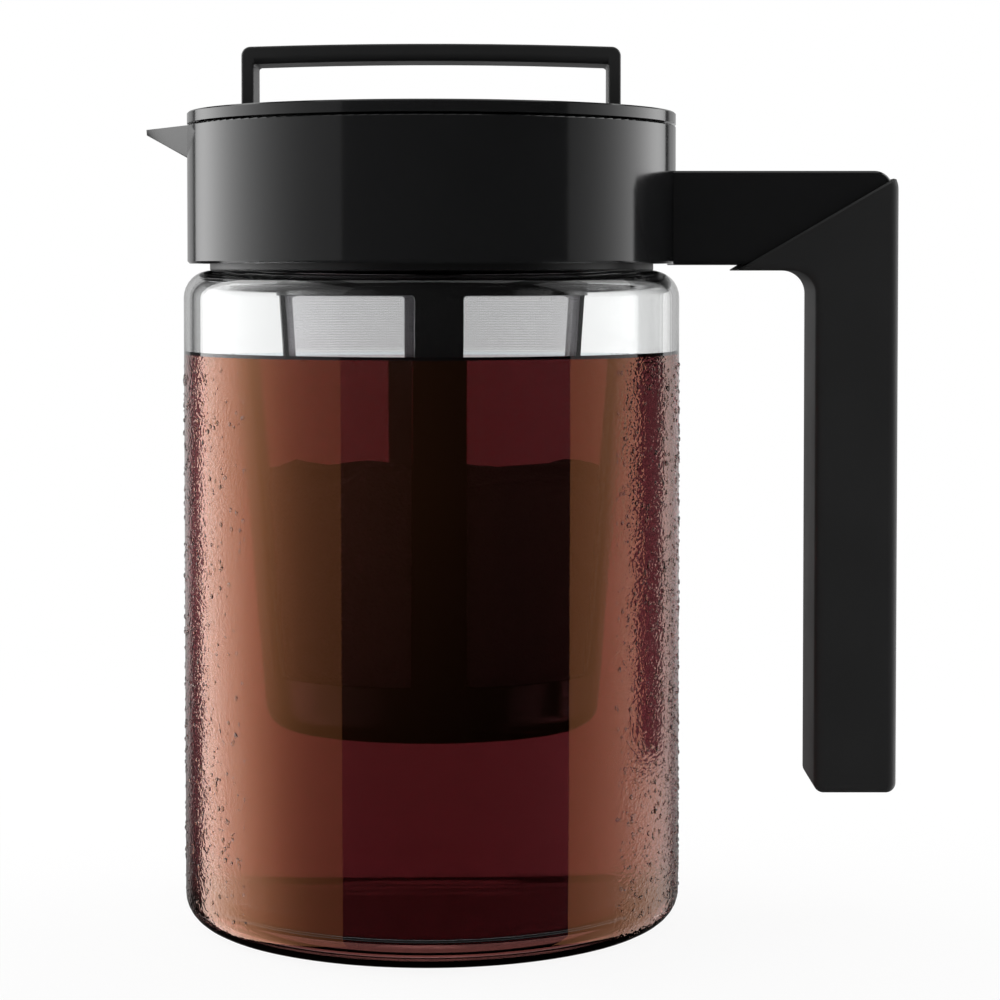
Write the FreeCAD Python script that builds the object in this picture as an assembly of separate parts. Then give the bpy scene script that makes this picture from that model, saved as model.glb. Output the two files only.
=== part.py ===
import FreeCAD, Part
import os
from math import radians, sin, sqrt, tan

from FreeCAD import Vector

# Cold brew coffee maker: a clear pitcher with a spouted collar and a handle, a screwed lid with a bail,
# and a coffee filter that hangs from the lid into the brew.
#
# Origin at the middle of the pitcher's foot, +Z up, handle towards +X, spout towards -X, millimetres.

# ---------------------------------------------------------------- driving dimensions

# Pitcher: one clear moulding, straight walled, with a rounded foot and a rounded shoulder under its neck.
pitcher_radius = 54.0
pitcher_wall = 2.0
pitcher_floor = 5.0
foot_rounding = 6.0
shoulder_height = 141.3
shoulder_rounding = 6.0
neck_inset = 7.4
neck_wall = 2.4
neck_height = 22.7
bead_height = 0.7
bead_width = 1.6
bead_level = 8.7

# Collar: the wide ring round the neck, with a deck on the neck's rim, stiffening ribs and the spout.
collar_inset = 0.86
collar_wall = 2.4
collar_gap = 1.4
collar_chamfer = 0.5
deck_thickness = 2.1
pour_depth = 6.35
rib_count = 16
rib_thickness = 1.4
rib_clearance = 0.1
spout_reach = 9.1
spout_half_width = 9.2
spout_drop = 6.9
spout_dip = 0.6
spout_wall = 1.5
spout_edge_radius = 1.6
spout_tip_radius = 0.7
spout_tip_depth = 1.4

# Gasket squeezed between the collar's ribs and the pitcher's shoulder.
gasket_width = 1.6
gasket_height = 3.0
gasket_clearance = 0.1

# Handle: a hollow L-shaped core screwed to the collar, and a soft sleeve over its grip.
arm_drop = 9.85
arm_height = 20.2
arm_rounding = 4.0
grip_gap = 28.6
grip_depth = 17.8
grip_width = 25.0
grip_bottom = 28.4
grip_bend = 5.0
core_wall = 2.4
core_edge = 1.0
sleeve_thickness = 1.2
sleeve_floor = 1.6
sleeve_edge = 2.2
sleeve_lip_bevel = 0.4
sleeve_lead = 17.0
sleeve_slant = 30.3
sleeve_clearance = 0.03
seat_clearance = 0.05

# Two screws that hold the handle's core from inside the collar.
screw_radius = 1.8
screw_length = 13.0
screw_head_radius = 3.4
screw_head_height = 1.8
screw_clearance = 0.05
screw_seat_margin = 0.5
boss_wall = 2.2
gusset_thickness = 1.1

# Lid: a flat cap with a bail strap, welded to a hollow plug that reaches down inside the neck.
cap_gap = 0.4
cap_thickness = 2.5
cap_bevel = 0.3
thread_room = 1.3
plug_wall = 2.2
plug_floor = 2.2
plug_depth = 26.9
weld_lip = 1.5
weld_lip_wall = 0.6

# Bail strap that stands on the cap.
strap_width = 81.8
strap_depth = 15.0
strap_rise = 14.7
strap_leg = 2.7
strap_bar = 3.65
strap_arch = 0.7
strap_corner = 2.0
strap_edge = 0.5
strap_finger_edge = 1.5
foot_width = 8.0
foot_thickness = 1.7
foot_length = 4.0
slot_clearance = 0.05

# Soft sealing ring in a groove round the plug.
seal_height = 3.2
seal_groove_depth = 1.0
seal_level = 4.5
seal_lip = 0.8
seal_lip_edge = 0.13
seal_clearance = 0.1

# Filter: a tapered basket of four ribs between a ring and a cup, with four mesh panels.
socket_radius = 31.0
socket_wall = 2.0
socket_height = 6.6
filter_ring_radius = 34.0
filter_ring_height = 9.3
filter_thread_room = 0.8
filter_ledge = 2.2
filter_top_gap = 0.3
filter_length = 102.7
filter_top_radius = 33.4
filter_bottom_radius = 26.7
filter_wall = 2.4
filter_cup_height = 12.0
filter_cup_rounding = 5.0
filter_cup_floor = 2.2
filter_rib_width = 10.0
filter_window_corner = 1.2
filter_turn = 4.0
mesh_thickness = 0.5
mesh_clearance = 0.04
filter_seal_clearance = 0.05

# Edges and inside corners, as shares of the wall that they belong to.
soft_edge = 0.25
crisp_edge = 0.125
root_corner = 0.5

# ---------------------------------------------------------------- places worked out from them

pitcher_bore = pitcher_radius - pitcher_wall
neck_radius = pitcher_radius - neck_inset
neck_bore = neck_radius - neck_wall
neck_top = shoulder_height + neck_height
bead_base = shoulder_height + bead_level

collar_radius = pitcher_radius - collar_inset
collar_bore = collar_radius - collar_wall
collar_base = shoulder_height + collar_gap
deck_top = neck_top + deck_thickness
collar_top = deck_top + pour_depth
rib_angle = 360.0 / rib_count
rib_base = shoulder_height + gasket_height + gasket_clearance

arm_top = collar_top - arm_drop
arm_base = arm_top - arm_height
grip_near = pitcher_radius + grip_gap
grip_far = grip_near + grip_depth
core_half_width = grip_width / 2 - sleeve_thickness
core_near = grip_near + sleeve_thickness
core_far = grip_far - sleeve_thickness
core_bottom = grip_bottom + sleeve_floor

screw_level = (arm_top + arm_base) / 2
web_face = core_wall / 2
room_face = core_half_width - core_wall
screw_side = (web_face + room_face) / 2

cap_base = collar_top + cap_gap
cap_top = cap_base + cap_thickness
plug_radius = neck_bore - thread_room
plug_bore = plug_radius - plug_wall
plug_base = cap_base - plug_depth

seal_middle = neck_top - seal_level
socket_base = plug_base - socket_height
filter_top = plug_base - filter_top_gap
filter_ring_base = filter_top - filter_ring_height
filter_base = filter_top - filter_length
filter_ring_bore = socket_radius + filter_thread_room
filter_cup_top = filter_base + filter_cup_height


# ---------------------------------------------------------------- shared shaping functions

def in_section(u, v):
    """A point of a profile in the XZ plane: u across, v up."""
    return Vector(u, 0, v)


def outline(corners, place=in_section):
    """A closed wire through corners (u, v) or (u, v, radius), with a tangent arc at each rounded corner."""
    points = [Vector(corner[0], corner[1], 0) for corner in corners]
    joints = []
    for index, corner in enumerate(corners):
        here = points[index]
        radius = corner[2] if len(corner) > 2 else 0
        if not radius:
            joints.append((here, None, here))
            continue
        back = (points[index - 1] - here).normalize()
        ahead = (points[(index + 1) % len(points)] - here).normalize()
        half_turn = back.getAngle(ahead) / 2
        inward = (back + ahead).normalize()
        reach = radius / tan(half_turn)
        middle = here + inward * (radius / sin(half_turn) - radius)
        joints.append((here + back * reach, middle, here + ahead * reach))
    edges = []
    for index, (start, middle, end) in enumerate(joints):
        if middle is not None:
            arc = Part.Arc(place(start.x, start.y), place(middle.x, middle.y), place(end.x, end.y))
            edges.append(arc.toShape())
        following = joints[(index + 1) % len(joints)][0]
        if (following - end).Length > 1e-6:
            edges.append(Part.LineSegment(place(end.x, end.y), place(following.x, following.y)).toShape())
    return Part.Wire(edges)


def lathe(corners):
    """A solid turned round the Z axis from a profile of (radius, height) corners."""
    face = Part.Face(outline(corners))
    return face.revolve(Vector(0, 0, 0), Vector(0, 0, 1), 360)


def ring(inner, outer, low, high, edge=0.0):
    """A plain ring, its four edges rounded by edge."""
    return lathe([(inner, low, edge), (outer, low, edge), (outer, high, edge), (inner, high, edge)])


def slab(corners, half_width):
    """A profile in the XZ plane thickened evenly to both sides along Y."""
    face = Part.Face(outline(corners))
    face.translate(Vector(0, -half_width, 0))
    return face.extrude(Vector(0, 2 * half_width, 0))


def block(low, high):
    """A box between two opposite corners."""
    size = high - low
    return Part.makeBox(size.x, size.y, size.z, low)


def about_z(shape, angle):
    """A copy of the shape turned round the Z axis."""
    copy = shape.copy()
    copy.rotate(Vector(0, 0, 0), Vector(0, 0, 1), angle)
    return copy


def edges_where(shape, test):
    """The straight or curved edges whose end points all pass the test."""
    return [edge for edge in shape.Edges if all(test(vertex.Point) for vertex in edge.Vertexes)]


def save(name, shape):
    """One STEP file for each node."""
    shape.exportStep(f"parts/{name}.step")


# ---------------------------------------------------------------- pitcher and collar

def make_pitcher():
    """The clear vessel: floor, straight wall, rounded shoulder and a neck with the collar's snap bead."""
    inner_rounding = shoulder_rounding - pitcher_wall
    body = lathe([
        (0, 0),
        (pitcher_radius, 0, foot_rounding),
        (pitcher_radius, shoulder_height, shoulder_rounding),
        (neck_radius, shoulder_height),
        (neck_radius, neck_top, neck_wall * soft_edge),
        (neck_bore, neck_top, neck_wall * soft_edge),
        (neck_bore, shoulder_height - pitcher_wall, neck_wall * root_corner),
        (pitcher_bore, shoulder_height - pitcher_wall, inner_rounding),
        (pitcher_bore, pitcher_floor, foot_rounding),
        (0, pitcher_floor),
    ])
    bead_top = bead_base + bead_width
    bead = lathe([
        (neck_radius - neck_wall / 2, bead_base),
        (neck_radius, bead_base),
        (neck_radius + bead_height, bead_base + bead_height),
        (neck_radius + bead_height, bead_top - bead_height),
        (neck_radius, bead_top),
        (neck_radius - neck_wall / 2, bead_top),
    ])
    return body.fuse(bead).removeSplitter()


def collar_rib():
    """One upright rib between the collar's wall and the neck, notched over the snap bead."""
    inner = neck_radius + rib_clearance
    notch = inner + bead_height
    notch_low = bead_base - rib_clearance
    notch_high = bead_base + bead_width + rib_clearance
    return slab([
        (inner, rib_base),
        (collar_bore + collar_wall / 2, rib_base),
        (collar_bore + collar_wall / 2, neck_top + deck_thickness / 2),
        (inner, neck_top + deck_thickness / 2),
        (inner, notch_high),
        (notch, notch_high),
        (notch, notch_low),
        (inner, notch_low),
    ], rib_thickness / 2)


def spout_form(inset, rise):
    """The beak of the spout as a solid: a U section at the collar that runs out to a small U at the tip.

    inset draws its sides and keel in by a wall, and rise is how far its top stands above the rim.
    """
    root_x = -(collar_radius - collar_wall)
    tip_x = -(collar_radius + spout_reach - inset)
    # The keel line is carried inward to the collar's bore, so that it crosses the outer face at its drop.
    keel_slope = (spout_drop - spout_dip) / spout_reach
    root_keel = collar_top - spout_drop - keel_slope * collar_wall + inset
    tip_top = collar_top - spout_dip + rise
    tip_keel = collar_top - spout_dip - spout_tip_depth + inset
    side_slope = spout_half_width / spout_reach
    root_half = spout_half_width + side_slope * collar_wall - inset

    def section(x, half_width, keel, top, radius):
        return outline(
            [(half_width, top), (-half_width, top), (0, keel, radius)],
            lambda u, v: Vector(x, u, v))

    root = section(root_x, root_half, root_keel, collar_top + rise, spout_edge_radius)
    tip = section(tip_x, spout_tip_radius, tip_keel, tip_top, spout_tip_radius * soft_edge)
    return Part.makeLoft([root, tip], True, True)


def make_collar():
    """The ring round the neck: outer wall, deck on the neck's rim, ribs, and the open spout."""
    wall = lathe([
        (collar_bore, collar_base),
        (collar_radius - collar_chamfer, collar_base),
        (collar_radius, collar_base + collar_chamfer),
        (collar_radius, collar_top, collar_wall * crisp_edge),
        (collar_bore, collar_top, collar_wall * crisp_edge),
        (collar_bore, deck_top, deck_thickness * soft_edge),
        (neck_bore, deck_top, deck_thickness * soft_edge),
        (neck_bore, neck_top),
        (collar_bore, neck_top),
    ])
    ribs = [about_z(collar_rib(), rib_angle * index) for index in range(rib_count)]
    inside = Part.makeCylinder(collar_bore, pour_depth + spout_reach, Vector(0, 0, deck_top))
    beak = spout_form(0, 0).cut(inside)
    trough = spout_form(spout_wall, spout_wall)
    body = wall.fuse([beak] + ribs).cut(trough)
    for side in (-1, 1):
        hole_start = Vector(neck_radius, side * screw_side, screw_level)
        hole = Part.makeCylinder(screw_radius + screw_clearance, collar_radius, hole_start, Vector(1, 0, 0))
        seat = Part.makeCylinder(
            screw_head_radius + screw_seat_margin, screw_seat() - neck_radius, hole_start, Vector(1, 0, 0))
        body = body.cut([hole, seat])
    return body.removeSplitter()


def screw_seat():
    """How far out the flat seat of a screw's head lies, cut into the collar's bore."""
    return sqrt(collar_bore ** 2 - screw_side ** 2)


def make_neck_gasket():
    """The soft ring on the shoulder, under the collar's ribs."""
    inner = neck_radius + gasket_clearance
    top = shoulder_height + gasket_height
    return ring(inner, inner + gasket_width, shoulder_height, top, gasket_width * crisp_edge)


# ---------------------------------------------------------------- handle

def handle_profile(near, far, low, top, under, bend, corner):
    """The L of the handle seen from the side: arm above, grip down the outside."""
    return [
        (collar_bore - collar_wall, under),
        (near, under, bend),
        (near, low),
        (far, low),
        (far, top, corner),
        (collar_bore - collar_wall, top),
    ]


def core_form(growth=0.0):
    """The core's outside as a solid, grown on every side by growth."""
    corners = handle_profile(
        core_near - growth,
        core_far + growth,
        core_bottom - growth,
        arm_top + growth,
        arm_base - growth,
        grip_bend + sleeve_thickness - growth,
        arm_rounding + growth)
    half_width = core_half_width + growth
    form = slab(corners, half_width)
    long_edges = edges_where(form, lambda point: abs(abs(point.y) - half_width) < 1e-4)
    return form.makeFillet(core_edge + growth, long_edges)


def core_rooms(near, far, low, high):
    """Two rooms cored out of the handle, one each side of the web down its middle."""
    return [
        block(Vector(near, web_face, low), Vector(far, room_face, high)),
        block(Vector(near, -room_face, low), Vector(far, -web_face, high)),
    ]


def make_handle_core():
    """A hollow L: the arm cored from the collar's side, the grip from below, a web down the middle."""
    core = core_form()
    arm_rooms = core_rooms(
        0, core_far - core_wall - arm_rounding / 2, arm_base + core_wall, arm_top - core_wall)
    grip_rooms = core_rooms(
        core_near + core_wall, core_far - core_wall, core_bottom - core_wall, arm_base)
    core = core.cut(arm_rooms + grip_rooms)
    boss_start = collar_bore
    boss_length = screw_seat() + screw_length - boss_start + boss_wall
    for side in (-1, 1):
        at = Vector(boss_start, side * screw_side, screw_level)
        boss = Part.makeCylinder(screw_radius + boss_wall, boss_length, at, Vector(1, 0, 0))
        bore_length = boss_length - boss_wall / 2
        bore = Part.makeCylinder(screw_radius + screw_clearance, bore_length, at, Vector(1, 0, 0))
        gusset_near = side * screw_side - gusset_thickness / 2
        gusset = block(
            Vector(boss_start, gusset_near, arm_base + core_wall / 2),
            Vector(boss_start + boss_length, gusset_near + gusset_thickness, screw_level))
        core = core.fuse([boss, gusset]).cut(bore)
    seat_start = Vector(0, 0, arm_base - arm_height / 2)
    seat = Part.makeCylinder(collar_radius + seat_clearance, 2 * arm_height, seat_start)
    return core.cut(seat).removeSplitter()


def make_handle_sleeve():
    """The soft sleeve: it follows the core, closed below, and ends above in a slanted edge."""
    corners = handle_profile(
        grip_near,
        grip_far,
        grip_bottom,
        arm_top + sleeve_thickness,
        arm_base - sleeve_thickness,
        grip_bend,
        arm_rounding + sleeve_thickness)
    half_width = grip_width / 2
    form = slab(corners, half_width)
    long_edges = edges_where(form, lambda point: abs(abs(point.y) - half_width) < 1e-4)
    form = form.makeFillet(sleeve_edge, long_edges)
    # Everything above the slanted plane is left bare.
    slant = tan(radians(sleeve_slant))
    start_x = grip_near - sleeve_lead
    start_z = arm_base - sleeve_thickness
    span = grip_far + grip_depth
    above = slab([
        (start_x - arm_height, start_z - arm_height * slant),
        (span, start_z + (span - start_x) * slant),
        (span, arm_top + span),
        (start_x - arm_height, arm_top + span),
    ], grip_width)
    form = form.cut(above)
    lip = edges_where(
        form, lambda point: abs(point.z - start_z - (point.x - start_x) * slant) < 1e-4)
    form = form.makeChamfer(sleeve_lip_bevel, lip)
    return form.cut(core_form(sleeve_clearance)).removeSplitter()


def make_handle_screws():
    """Two pan-head screws, put in from inside the collar."""
    screws = []
    for side in (-1, 1):
        at = Vector(screw_seat(), side * screw_side, screw_level)
        shank = Part.makeCylinder(screw_radius, screw_length, at, Vector(1, 0, 0))
        head = Part.makeCylinder(screw_head_radius, screw_head_height, at, Vector(-1, 0, 0))
        rim = edges_where(head, lambda point: point.x < screw_seat() - screw_head_height / 2)
        screws.append(head.makeFillet(screw_head_height * soft_edge, rim[:1]).fuse(shank).removeSplitter())
    return Part.makeCompound(screws)


# ---------------------------------------------------------------- lid

def make_lid_cap():
    """The flat cap: bevelled rim, a weld lip inside the plug, and two slots for the strap's feet."""
    lip_outer = plug_bore - slot_clearance
    cap = lathe([
        (0, cap_base),
        (lip_outer - weld_lip_wall, cap_base),
        (lip_outer - weld_lip_wall, cap_base - weld_lip),
        (lip_outer, cap_base - weld_lip),
        (lip_outer, cap_base),
        (collar_radius, cap_base),
        (collar_radius, cap_top - cap_bevel),
        (collar_radius - cap_bevel, cap_top),
        (0, cap_top),
    ])
    slots = []
    for side in (-1, 1):
        middle = side * (strap_width / 2 - strap_leg / 2)
        reach_x = foot_thickness / 2 + slot_clearance
        reach_y = foot_width / 2 + slot_clearance
        slots.append(block(
            Vector(middle - reach_x, -reach_y, cap_base - cap_thickness),
            Vector(middle + reach_x, reach_y, cap_top + cap_thickness)))
    return cap.cut(slots).removeSplitter()


def bar_arc(reach, top):
    """One of the bar's two crowned lines, highest in the middle and lower by the arch at its ends."""
    low = top - strap_arch
    return Part.Arc(in_section(-reach, low), in_section(0, top), in_section(reach, low))


def strap_solid(edges):
    """A closed outline of the bail, seen from the front, thickened to the bail's depth."""
    face = Part.Face(Part.Wire([edge.toShape() for edge in edges]))
    face.translate(Vector(0, -strap_depth / 2, 0))
    return face.extrude(Vector(0, strap_depth, 0))


def finger_edges(inner, under):
    """The two slivers that round the bar's lower edges, between the legs."""
    top = under + strap_bar / 2
    span = strap_solid([
        bar_arc(inner, under),
        Part.LineSegment(in_section(inner, under - strap_arch), in_section(inner, top)),
        Part.LineSegment(in_section(inner, top), in_section(-inner, top)),
        Part.LineSegment(in_section(-inner, top), in_section(-inner, under - strap_arch)),
    ])
    lower = edges_where(span, lambda point: point.z < under - strap_arch / 2)
    lower = [edge for edge in lower if edge.BoundBox.XLength > inner]
    return span.cut(span.makeFillet(strap_finger_edge, lower))


def make_lid_strap():
    """The bail: a bent strap with a slightly crowned bar, standing on the cap on two feet."""
    outer = strap_width / 2
    inner = outer - strap_leg
    crown = cap_top + strap_rise
    under = crown - strap_bar
    strap = strap_solid([
        bar_arc(outer, crown),
        Part.LineSegment(in_section(outer, crown - strap_arch), in_section(outer, cap_top)),
        Part.LineSegment(in_section(outer, cap_top), in_section(inner, cap_top)),
        Part.LineSegment(in_section(inner, cap_top), in_section(inner, under - strap_arch)),
        bar_arc(inner, under),
        Part.LineSegment(in_section(-inner, under - strap_arch), in_section(-inner, cap_top)),
        Part.LineSegment(in_section(-inner, cap_top), in_section(-outer, cap_top)),
        Part.LineSegment(in_section(-outer, cap_top), in_section(-outer, crown - strap_arch)),
    ])
    corners = edges_where(strap, lambda point: abs(abs(point.x) - outer) < 1e-4 and point.z > under)
    corners = [edge for edge in corners if edge.BoundBox.YLength > strap_depth / 2]
    strap = strap.makeFillet(strap_corner, corners)
    rims = edges_where(strap, lambda point: abs(abs(point.y) - strap_depth / 2) < 1e-4)
    rims = [edge for edge in rims if edge.BoundBox.ZMax > cap_top + strap_edge]
    strap = strap.makeFillet(strap_edge, rims)
    strap = strap.cut(finger_edges(inner, under))
    feet = []
    for side in (-1, 1):
        middle = side * (outer - strap_leg / 2)
        feet.append(block(
            Vector(middle - foot_thickness / 2, -foot_width / 2, cap_top - foot_length),
            Vector(middle + foot_thickness / 2, foot_width / 2, cap_top + strap_leg)))
    return strap.fuse(feet).removeSplitter()


def make_lid_plug():
    """The hollow plug: a cup welded under the cap, grooved for its seal, with the filter's socket below."""
    groove = plug_radius - seal_groove_depth
    groove_low = seal_middle - seal_height / 2 - seal_clearance
    groove_high = seal_middle + seal_height / 2 + seal_clearance
    return lathe([
        (0, plug_base),
        (socket_radius - socket_wall, plug_base),
        (socket_radius - socket_wall, socket_base),
        (socket_radius, socket_base, socket_wall * soft_edge),
        (socket_radius, plug_base),
        (plug_radius, plug_base, plug_wall * root_corner),
        (plug_radius, groove_low),
        (groove, groove_low),
        (groove, groove_high),
        (plug_radius, groove_high),
        (plug_radius, cap_base),
        (plug_bore, cap_base),
        (plug_bore, plug_base + plug_floor, plug_wall * root_corner),
        (0, plug_base + plug_floor),
    ])


def make_lid_seal():
    """The lid's sealing ring: two soft lips that press on the neck's bore."""
    inner = plug_radius - seal_groove_depth + seal_clearance / 2
    outer = neck_bore - seal_clearance
    low = seal_middle - seal_height / 2
    high = seal_middle + seal_height / 2
    waist = outer - seal_lip
    return lathe([
        (inner, low),
        (waist, low),
        (outer, low + seal_lip / 2, seal_lip_edge),
        (waist, seal_middle - seal_lip / 4),
        (waist, seal_middle + seal_lip / 4),
        (outer, high - seal_lip / 2, seal_lip_edge),
        (waist, high),
        (inner, high),
    ])


# ---------------------------------------------------------------- filter

def taper_at(height):
    """The basket's outer radius at a height: a straight taper from ring to foot."""
    share = (height - filter_base) / (filter_ring_base - filter_base)
    return filter_bottom_radius + share * (filter_top_radius - filter_bottom_radius)


def basket_band(low, high, inner_depth, outer_depth):
    """A tapered band of the basket's wall, between two depths below its outer face."""
    return lathe([
        (taper_at(low) - inner_depth, low),
        (taper_at(low) - outer_depth, low),
        (taper_at(high) - outer_depth, high),
        (taper_at(high) - inner_depth, high),
    ])


def rib_cross(half_width):
    """Two crossed slabs that hold the places of the four ribs."""
    reach = filter_ring_radius + filter_wall
    low = Vector(-reach, -half_width, filter_base - filter_wall)
    high = Vector(reach, half_width, filter_top + filter_wall)
    bar = block(low, high)
    return bar.fuse(about_z(bar, 90))


def window_forms(clearance=0.0):
    """The four openings between the ribs as thick tapered solids, drawn in by clearance."""
    low = filter_cup_top + clearance
    high = filter_ring_base - clearance
    band = basket_band(low, high, 2 * filter_wall, -filter_wall)
    forms = []
    for form in band.cut(rib_cross(filter_rib_width / 2 + clearance)).Solids:
        straight = [edge for edge in form.Edges if edge.Curve.TypeId == "Part::GeomLine"]
        level = [edge for edge in straight if edge.BoundBox.ZLength < mesh_thickness]
        forms.append(form.makeFillet(filter_window_corner, level))
    return forms


def make_filter_frame():
    """Threaded ring, four ribs and a closed cup in one moulding, with round-cornered windows."""
    shell = lathe([
        (0, filter_base),
        (filter_bottom_radius, filter_base, filter_cup_rounding),
        (filter_top_radius, filter_ring_base),
        (filter_ring_radius, filter_ring_base, (filter_ring_radius - filter_top_radius) * soft_edge),
        (filter_ring_radius, filter_top, filter_wall * crisp_edge),
        (filter_ring_bore, filter_top, filter_wall * crisp_edge),
        (filter_ring_bore, filter_ring_base + filter_ledge),
        (socket_radius - socket_wall, filter_ring_base + filter_ledge),
        (socket_radius - socket_wall, filter_ring_base + filter_ledge / 2),
        (filter_top_radius - filter_wall, filter_ring_base - filter_ledge / 2),
        (taper_at(filter_base + filter_cup_floor) - filter_wall, filter_base + filter_cup_floor,
         filter_cup_rounding / 2),
        (0, filter_base + filter_cup_floor),
    ])
    frame = shell.cut(window_forms())
    return about_z(frame.removeSplitter(), filter_turn)


def make_filter_meshes():
    """Four curved mesh panels, each let into the middle of the frame's thickness between two ribs."""
    depth = filter_wall / 2 + mesh_thickness / 2
    band = basket_band(filter_cup_top, filter_ring_base, depth, depth - mesh_thickness)
    panels = [about_z(band.common(form).Solids[0], filter_turn) for form in window_forms(mesh_clearance)]
    return sorted(panels, key=lambda panel: (panel.CenterOfMass.y > 0, panel.CenterOfMass.x > 0))


def make_filter_seal():
    """The flat washer between the filter's ledge and the end of the lid's socket."""
    low = filter_ring_base + filter_ledge + filter_seal_clearance
    high = socket_base - filter_seal_clearance
    inner = socket_radius - socket_wall + filter_thread_room
    return ring(inner, filter_ring_bore - filter_seal_clearance, low, high)


# ---------------------------------------------------------------- build

def main():
    os.makedirs("parts", exist_ok=True)
    save("pitcher_body", make_pitcher())
    save("collar", make_collar())
    save("neck_gasket", make_neck_gasket())
    save("handle_core", make_handle_core())
    save("handle_sleeve", make_handle_sleeve())
    save("handle_screws", make_handle_screws())
    save("lid_cap", make_lid_cap())
    save("lid_strap", make_lid_strap())
    save("lid_plug", make_lid_plug())
    save("lid_seal", make_lid_seal())
    save("filter_frame", make_filter_frame())
    save("filter_seal", make_filter_seal())
    quarters = ("front_left", "front_right", "rear_left", "rear_right")
    for quarter, panel in zip(quarters, make_filter_meshes()):
        save(f"filter_mesh_{quarter}", panel)


main()
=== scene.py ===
# %% [markdown]
# # A cold brew coffee maker, dressed round its CAD frame
# The pitcher is one clear moulding. A black collar with a beak is snapped on its neck, an L-shaped handle is
# screwed to the collar, and a flat lid with a bail closes it. A mesh filter hangs from the lid into the brew.
# The CAD model already holds every rigid piece at its real size. This lesson gives those pieces their
# finishes, and models what CAD leaves plain: the smooth clear wall, the coffee, a painted shade of the brew's
# colour in the foot, the grounds, the dew and the screw threads.

# %% Load the frame
import math
import random

import bmesh
import bpy
from mathutils import Matrix, Vector


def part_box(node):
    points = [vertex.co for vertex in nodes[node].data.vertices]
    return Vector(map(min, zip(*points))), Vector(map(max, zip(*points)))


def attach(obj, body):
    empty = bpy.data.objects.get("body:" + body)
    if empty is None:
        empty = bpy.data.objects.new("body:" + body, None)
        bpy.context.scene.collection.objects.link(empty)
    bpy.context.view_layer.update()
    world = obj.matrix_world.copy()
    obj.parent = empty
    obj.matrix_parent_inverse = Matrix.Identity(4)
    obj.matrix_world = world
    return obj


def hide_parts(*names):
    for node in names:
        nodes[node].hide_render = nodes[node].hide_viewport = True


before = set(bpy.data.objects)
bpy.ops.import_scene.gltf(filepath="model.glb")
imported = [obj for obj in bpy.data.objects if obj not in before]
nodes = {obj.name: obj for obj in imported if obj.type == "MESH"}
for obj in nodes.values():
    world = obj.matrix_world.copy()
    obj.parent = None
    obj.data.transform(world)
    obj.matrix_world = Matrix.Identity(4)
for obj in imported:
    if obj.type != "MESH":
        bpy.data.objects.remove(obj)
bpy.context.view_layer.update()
MM = 0.001

# %% [markdown]
# ## Sizes
# Blender works in metres. A place is read from the frame where the frame has it, so that a change of the
# CAD model carries over, and the few sizes that no box can tell, such as a wall, are written once here.

# %% Sizes of the pitcher, from the frame and by name
_, pitcher_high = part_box("pitcher_body")
gasket_low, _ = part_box("neck_gasket")
filter_low, filter_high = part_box("filter_frame")
_, plug_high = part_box("lid_plug")

pitcher_radius = min(pitcher_high.x, pitcher_high.y)
neck_top = pitcher_high.z
shoulder_height = gasket_low.z
pitcher_wall = 2.0 * MM
pitcher_floor = 5.0 * MM
foot_rounding = 6.0 * MM
shoulder_rounding = 6.0 * MM
neck_inset = 7.4 * MM
neck_wall = 2.4 * MM
neck_edge = 0.6 * MM
pitcher_bore = pitcher_radius - pitcher_wall
neck_radius = pitcher_radius - neck_inset
neck_bore = neck_radius - neck_wall
brew_level = 123.2 * MM
print("pitcher, mm: bore", round(pitcher_bore / MM, 2), "neck bore", round(neck_bore / MM, 2))

# %% [markdown]
# ## The camera
# The product is seen from the front, a little above the middle, through a long lens. The lens is shifted
# down more than it is tipped, so that upright edges stay nearly upright, as in a product picture.

# %% Camera
CAMERA_PLACE = (14.85 * MM, -590.87 * MM, 141.02 * MM)
CAMERA_PITCH = math.radians(2.038)
LENS = 97.2
SENSOR_WIDTH = 36.0
LENS_SHIFT = -0.1325

camera_data = bpy.data.cameras.new("product_camera")
camera_data.lens = LENS
camera_data.sensor_width = SENSOR_WIDTH
camera_data.shift_y = LENS_SHIFT
camera = bpy.data.objects.new("product_camera", camera_data)
camera.location = CAMERA_PLACE
camera.rotation_euler = (math.radians(90) - CAMERA_PITCH, 0, 0)
bpy.context.scene.collection.objects.link(camera)
bpy.context.scene.camera = camera
bpy.context.scene.view_settings.view_transform = "Standard"
print("camera", [round(value / MM) for value in camera.location], "mm, lens", LENS)

# %% [markdown]
# ## Small helpers for node trees
# A finish is a chain of nodes. These helpers keep each chain short to read. One adds a node with its
# settings, and feed sets a socket or links an output into it, so every other helper takes numbers, colours
# and outputs alike.

# %% Node helpers
WHITE = (1, 1, 1, 1)


def feed(tree, socket, value):
    """Sets a socket to a plain value, or links an output into it."""
    if isinstance(value, bpy.types.NodeSocket):
        tree.links.new(value, socket)
    else:
        socket.default_value = value


def add_node(tree, kind, **inputs):
    """A node of that kind. Each named input takes a number, a colour, or another node's output."""
    node = tree.nodes.new(kind)
    for name, value in inputs.items():
        feed(tree, node.inputs[name.replace("_", " ")], value)
    return node


def calculate(tree, operation, first, second=0.0):
    """One Math node, and its result."""
    node = tree.nodes.new("ShaderNodeMath")
    node.operation = operation
    feed(tree, node.inputs[0], first)
    feed(tree, node.inputs[1], second)
    return node.outputs[0]


def ramp(tree, value, start, end, low, high, smooth=False):
    """value between start and end becomes low to high, and stays there outside."""
    node = tree.nodes.new("ShaderNodeMapRange")
    if smooth:
        node.interpolation_type = "SMOOTHSTEP"
    for index, given in enumerate((value, start, end, low, high)):
        feed(tree, node.inputs[index], given)
    return node.outputs[0]


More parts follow.
